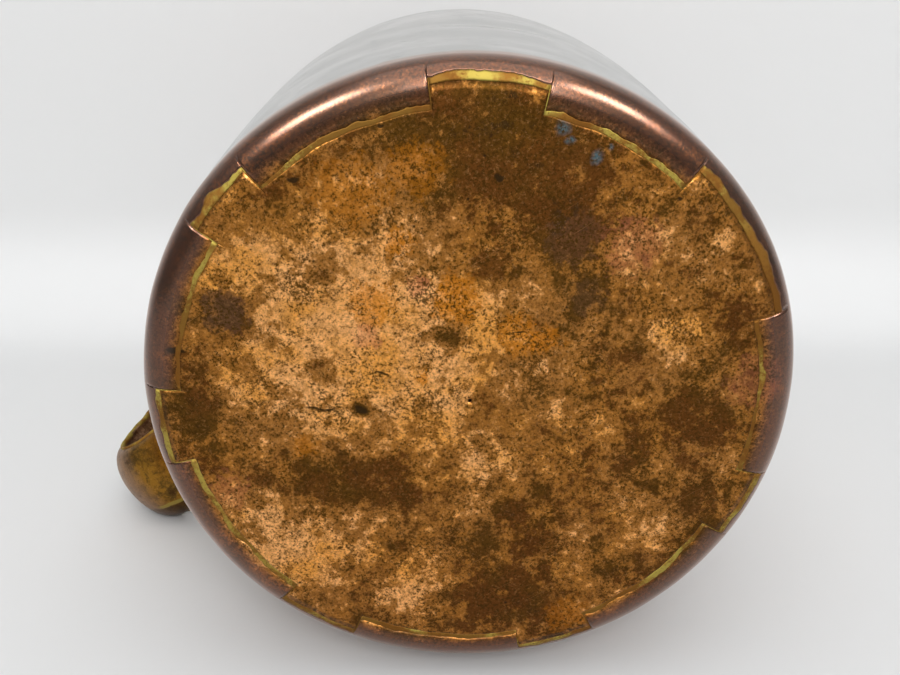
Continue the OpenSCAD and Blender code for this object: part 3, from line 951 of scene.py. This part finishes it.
class JUG_OT_finishes(Builder):
    """Give every CAD piece that is still shown its finish"""
    bl_idname = "jug.finishes"
    bl_label = "Finishes"

    def execute(self, context):
        upper = body_material("Upper copper", from_corner=False)
        brass = brass_material("Upper brass")
        plates = handle_material("Plate copper")
        kinds = {upper: ("shoulder_shell", "neck_shell", "rim_roll", "pouring_lip"),
                 brass: ("belly_seam", "waist_seam", "neck_band", "neck_seam", "lip_seam"),
                 plates: ("lower_plate", "upper_plate", "handle_rivets"),
                 iron_material(): ("rim_wire",)}
        for material, names in kinds.items():
            for name in names:
                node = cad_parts[name]
                node.data.materials.clear()
                node.data.materials.append(material)
                for polygon in node.data.polygons:
                    polygon.material_index = 0
        return {"FINISHED"}


class JUG_OT_stage(Builder):
    """Set the pale table and backdrop, the lights, the camera and the room's light"""
    bl_idname = "jug.stage"
    bl_label = "Stage"

    def execute(self, context):
        self.table()
        self.lights()
        self.room(context.scene)
        self.camera(context.scene)
        return {"FINISHED"}

    def table(self):
        """A table top that curves up into a wall behind the mouth. It is clear from behind."""
        down = -UPWARD.normalized()
        across = down.cross(Vector((0, 0, 1)))
        depth = sizes().belly_r + 0.0003
        half_width = 1.6
        wall_starts = 0.283
        bend = 0.07
        wall_height = 2.2
        profile = [(depth, -half_width), (depth, 0.0), (depth, wall_starts)]
        for k in range(1, 17):
            a = math.radians(90 * k / 16)
            profile.append((depth - bend + bend * math.cos(a), wall_starts + bend * math.sin(a)))
        profile.append((depth - wall_height, wall_starts + bend))
        rows = []
        for share in (-1, -0.5, 0, 0.5, 1):
            side = across * (half_width * share)
            rows.append([down * low + side + Vector((0, 0, z)) for low, z in profile])
        rows.reverse()
        piece = grids_piece("table", [(rows, False)])
        tree = Tree("Pale table")
        soft = tree.grain(300, 2, 0.5, seed=121.0)
        upright = tree.nodes.new("ShaderNodeSeparateXYZ")
        tree.put(upright.inputs[0], tree.mm)
        share = tree.fade(upright.outputs["Z"], 240, 330)
        now = tree.mix(share, shade("table"), shade("backdrop"))
        now = tree.mix(tree.fade(soft, 0.3, 0.7, 0.0, 0.04), now, (0.6, 0.6, 0.6))
        tree.set(colour=now, rough=0.55, metal=0.0)
        tree.put(tree.shader.inputs["Specular IOR Level"], 0.25)
        geometry = tree.nodes.new("ShaderNodeNewGeometry")
        clear = tree.nodes.new("ShaderNodeBsdfTransparent")
        either = tree.nodes.new("ShaderNodeMixShader")
        tree.put(either.inputs[0], geometry.outputs["Backfacing"])
        tree.put(either.inputs[1], tree.shader.outputs[0])
        tree.put(either.inputs[2], clear.outputs[0])
        tree.put(tree.nodes["Material Output"].inputs["Surface"], either.outputs[0])
        piece.data.materials.append(tree.material)

    def lights(self):
        """Soft lights above the table, and two windows that only show as streaks in the metal."""
        up = UPWARD.normalized()
        right = ALONG.normalized()
        middle = Vector((0, 0, 0.05))
        for name, place, wide, power in (
                ("overhead", up * 1.1 + Vector((0, 0, -0.3)), 1.1, 5.5),
                ("front", up * 0.9 + right * 0.1 + Vector((0, 0, -1.2)), 0.7, 12),
                ("left window", up * 0.9 - right * 0.66 + Vector((0, 0, -0.6)), 0.34, 10),
                ("right window", up * 0.9 + right * 0.66 + Vector((0, 0, -0.6)), 0.34, 9)):
            data = bpy.data.lights.new(name, "AREA")
            data.size = wide
            data.energy = power
            lamp = linked(name, data)
            lamp.rotation_euler = (middle - place).to_track_quat("-Z", "Y").to_euler()
            lamp.location = place
            lamp.visible_diffuse = "window" not in name

    def room(self, scene):
        """A pale room: brighter overhead, dimmer behind whoever looks at the jug."""
        world = bpy.data.worlds.new("Pale room")
        scene.world = world
        world.use_nodes = True
        nodes = world.node_tree.nodes
        links = world.node_tree.links
        nodes.clear()
        output = nodes.new("ShaderNodeOutputWorld")
        coords = nodes.new("ShaderNodeTexCoord")
        lean = nodes.new("ShaderNodeVectorMath")
        lean.operation = "DOT_PRODUCT"
        lean.inputs[1].default_value = UPWARD
        links.new(coords.outputs["Generated"], lean.inputs[0])
        ramp = nodes.new("ShaderNodeValToRGB")
        ramp.color_ramp.elements[0].position = 0.0
        ramp.color_ramp.elements[0].color = (0.30, 0.29, 0.28, 1)
        ramp.color_ramp.elements[1].position = 0.8
        ramp.color_ramp.elements[1].color = (0.85, 0.86, 0.88, 1)
        links.new(lean.outputs["Value"], ramp.inputs["Fac"])
        room = nodes.new("ShaderNodeBackground")
        links.new(ramp.outputs["Color"], room.inputs["Color"])
        room.inputs["Strength"].default_value = 0.75
        seen = nodes.new("ShaderNodeBackground")
        seen.inputs["Color"].default_value = (0.77, 0.77, 0.765, 1)
        path = nodes.new("ShaderNodeLightPath")
        either = nodes.new("ShaderNodeMixShader")
        links.new(path.outputs["Is Camera Ray"], either.inputs[0])
        links.new(room.outputs[0], either.inputs[1])
        links.new(seen.outputs[0], either.inputs[2])
        links.new(either.outputs[0], output.inputs["Surface"])

    def camera(self, scene):
        """Looks up at the base from below, turned so that the table lies level under the jug."""
        data = bpy.data.cameras.new("camera")
        data.lens = 36
        data.sensor_width = 36
        data.clip_start = 0.01
        data.clip_end = 20
        view = linked("camera", data)
        forward = Vector((-0.1905, 0.309, 0.9318)).normalized()
        up = Vector((0.5075, -0.7815, 0.3629))
        right = forward.cross(up).normalized()
        up = right.cross(forward)
        turn = Matrix((right, up, -forward)).transposed().to_4x4()
        view.matrix_world = Matrix.Translation((0.0514, -0.0931, -0.2254)) @ turn
        scene.camera = view
        scene.view_settings.view_transform = "Standard"


class JUG_PT_panel(bpy.types.Panel):
    """Buttons and settings of the jug"""
    bl_label = "Copper water jug"
    bl_idname = "JUG_PT_panel"
    bl_space_type = "VIEW_3D"
    bl_region_type = "UI"
    bl_category = "Jug"

    def draw(self, context):
        for operator in OPERATORS:
            self.layout.operator(operator.bl_idname)
        for group in (context.scene.jug_sizes, context.scene.jug_colours):
            column = self.layout.box().column(align=True)
            for name in group.__annotations__:
                column.prop(group, name)


OPERATORS = (JUG_OT_base, JUG_OT_base_seam, JUG_OT_belly, JUG_OT_handle, JUG_OT_finishes,
             JUG_OT_stage)
CLASSES = (JugSizes, JugColours) + OPERATORS + (JUG_PT_panel,)


def register():
    for cls in CLASSES:
        bpy.utils.register_class(cls)
    bpy.types.Scene.jug_sizes = bpy.props.PointerProperty(type=JugSizes)
    bpy.types.Scene.jug_colours = bpy.props.PointerProperty(type=JugColours)


def unregister():
    del bpy.types.Scene.jug_colours
    del bpy.types.Scene.jug_sizes
    for cls in reversed(CLASSES):
        bpy.utils.unregister_class(cls)


def main():
    register()
    bpy.ops.jug.base()
    bpy.ops.jug.base_seam()
    bpy.ops.jug.belly()
    bpy.ops.jug.handle()
    bpy.ops.jug.finishes()
    bpy.ops.jug.stage()


if __name__ == "__main__":
    main()
